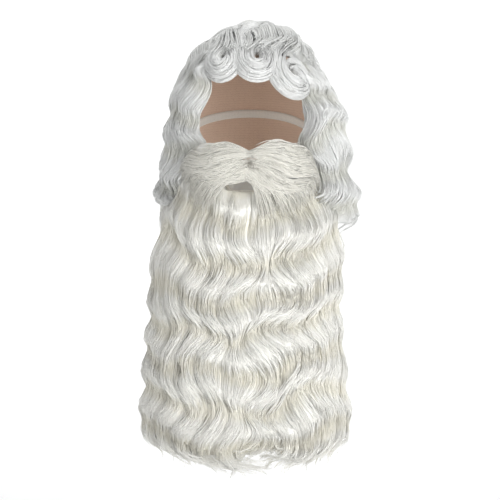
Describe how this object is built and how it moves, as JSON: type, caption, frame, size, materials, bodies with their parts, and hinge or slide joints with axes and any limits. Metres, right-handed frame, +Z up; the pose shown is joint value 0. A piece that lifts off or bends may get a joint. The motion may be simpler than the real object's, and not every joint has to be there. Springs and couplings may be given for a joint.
{
  "type": "curly costume wig with beard and moustache",
  "caption": "Waved white costume wig on a net cap, with a moustache and a long waved beard on a cloth backing that an elastic band holds, in the shape it has when worn.",
  "frame": {"origin": "top of the wearer's head, inside the cap", "axes": "+Z up, the face looks along -Y, +X is the viewer's right"},
  "size_m": [0.2593, 0.2651, 0.5317],
  "materials": {
    "wig_hair": "satin",
    "beard_hair": "satin",
    "net": "matte",
    "backing": "matte",
    "elastic": "matte"
  },
  "bodies": {
    "root": {"wig_cap": "net", "crown_hair": "wig_hair", "fringe_curl_left": "wig_hair", "fringe_curl_middle": "wig_hair", "fringe_curl_right": "wig_hair", "side_hair_left": "wig_hair", "side_hair_right": "wig_hair", "back_hair": "wig_hair", "beard_backing": "backing", "beard_elastic": "elastic", "moustache_left": "beard_hair", "moustache_right": "beard_hair", "beard_front_left": "beard_hair", "beard_front_right": "beard_hair", "beard_side_left": "beard_hair", "beard_side_right": "beard_hair"}
  },
  "joints": []
}
